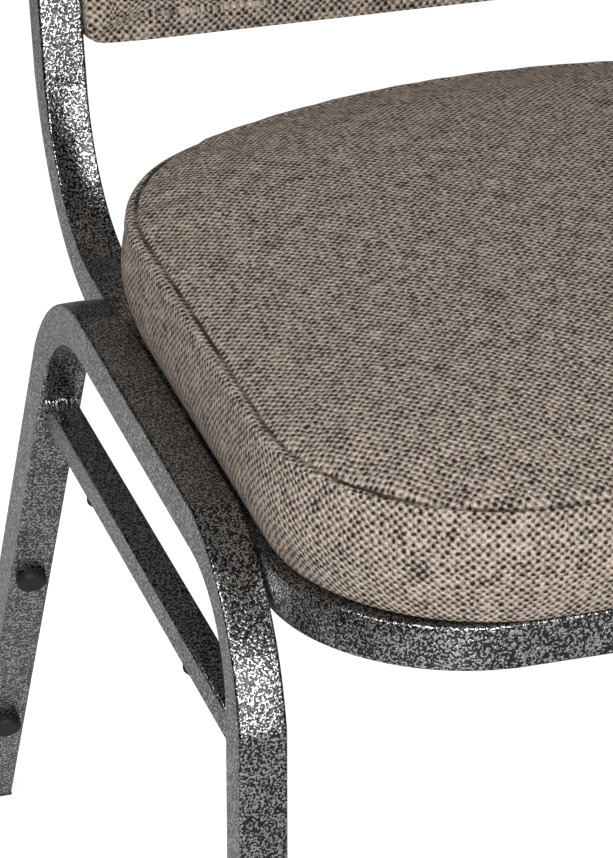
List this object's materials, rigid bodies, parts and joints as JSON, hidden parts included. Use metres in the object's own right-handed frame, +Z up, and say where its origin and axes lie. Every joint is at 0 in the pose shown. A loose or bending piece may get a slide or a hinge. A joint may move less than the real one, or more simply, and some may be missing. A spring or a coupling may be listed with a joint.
{
  "type": "banquet chair",
  "caption": "Armless stacking banquet chair with a bent square-tube frame, braced loop legs, thick tweed seat and framed tweed back.",
  "frame": {"origin": "on the floor, midway between left and right legs and midway between the seat's front and the rear feet", "axes": "+Z up, -Y the way a sitter faces, +X to the right as seen from the front"},
  "size_m": [0.4606, 0.5949, 0.9314],
  "materials": {
    "frame_coat": "silver vein powder coat, dark with pale flecks",
    "bare_steel": "drawn steel tube, bare",
    "zinc_steel": "zinc plated",
    "tweed": "woven tweed, grey brown",
    "dust_cloth": "non-woven cloth, black",
    "foam": "cut polyurethane foam",
    "plywood": "raw plywood",
    "hardboard": "raw hardboard",
    "black_plastic": "moulded nylon, black",
    "black_rubber": "moulded, black, satin"
  },
  "bodies": {
    "root": {"leg_frame_left": "frame_coat", "leg_frame_right": "frame_coat", "brace_left": "frame_coat", "brace_right": "frame_coat", "brace_welds": "frame_coat", "leg_welds": "frame_coat", "seat_front_rail": "frame_coat", "back_hoop": "frame_coat", "seat_cross_bar_front": "frame_coat", "seat_cross_bar_rear": "frame_coat", "back_tabs": "frame_coat", "rail_joint_sleeves": "bare_steel", "seat_screws": "zinc_steel", "seat_tee_nuts": "zinc_steel", "back_screws": "zinc_steel", "seat_cover": "tweed", "back_front_cover": "tweed", "back_rear_cover": "tweed", "seat_dust_cover": "dust_cloth", "seat_foam": "foam", "back_front_foam": "foam", "back_rear_foam": "foam", "seat_board": "plywood", "back_board": "plywood", "back_rear_board": "hardboard", "front_glides": "black_plastic", "rear_glides": "black_plastic", "back_clips": "black_plastic", "rear_leg_bumpers": "black_rubber", "brace_bumpers": "black_rubber"}
  },
  "joints": []
}
